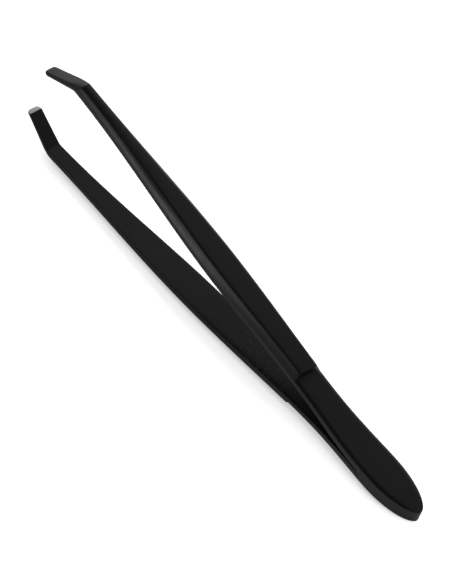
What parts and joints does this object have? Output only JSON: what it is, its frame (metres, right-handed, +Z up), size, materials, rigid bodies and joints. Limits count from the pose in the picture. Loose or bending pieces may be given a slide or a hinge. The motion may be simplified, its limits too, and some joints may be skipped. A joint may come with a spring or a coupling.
{
  "type": "claw tip tweezers",
  "caption": "Sprung tweezers with two black coated steel arms, a welded butt and narrow tips bent towards each other.",
  "frame": {"origin": "middle of the flat pad on the lower arm's outer face, which lies on the table", "axes": "+X towards the tips along the pad, +Y across the arms' width, +Z up out of the table"},
  "size_m": [0.0952, 0.0068, 0.0196],
  "materials": {
    "black_coating": "satin black baked coating over steel",
    "bare_steel": "freshly ground"
  },
  "bodies": {
    "butt": {"butt_weld": "black_coating", "upper_arm_root": "black_coating", "lower_arm_root": "black_coating"},
    "upper_arm": {"upper_arm": "black_coating", "upper_tip_end": "bare_steel"},
    "lower_arm": {"lower_arm": "black_coating", "lower_tip_end": "bare_steel"}
  },
  "joints": [
    {"name": "upper_flex", "type": "hinge", "parent": "butt", "child": "upper_arm", "pos_m": [-0.03161, 0, 0.00431], "axis": [0, 1, 0], "range_deg": [0, 3.84], "stiffness_Nm_per_rad": 4.7},
    {"name": "lower_flex", "type": "hinge", "parent": "butt", "child": "lower_arm", "pos_m": [-0.03137, 0, 0.00201], "axis": [0, -1, 0], "range_deg": [0, 3.84], "stiffness_Nm_per_rad": 4.7}
  ],
  "couplings": [
    {"joint": "lower_flex", "follows": "upper_flex", "ratio": 1}
  ]
}
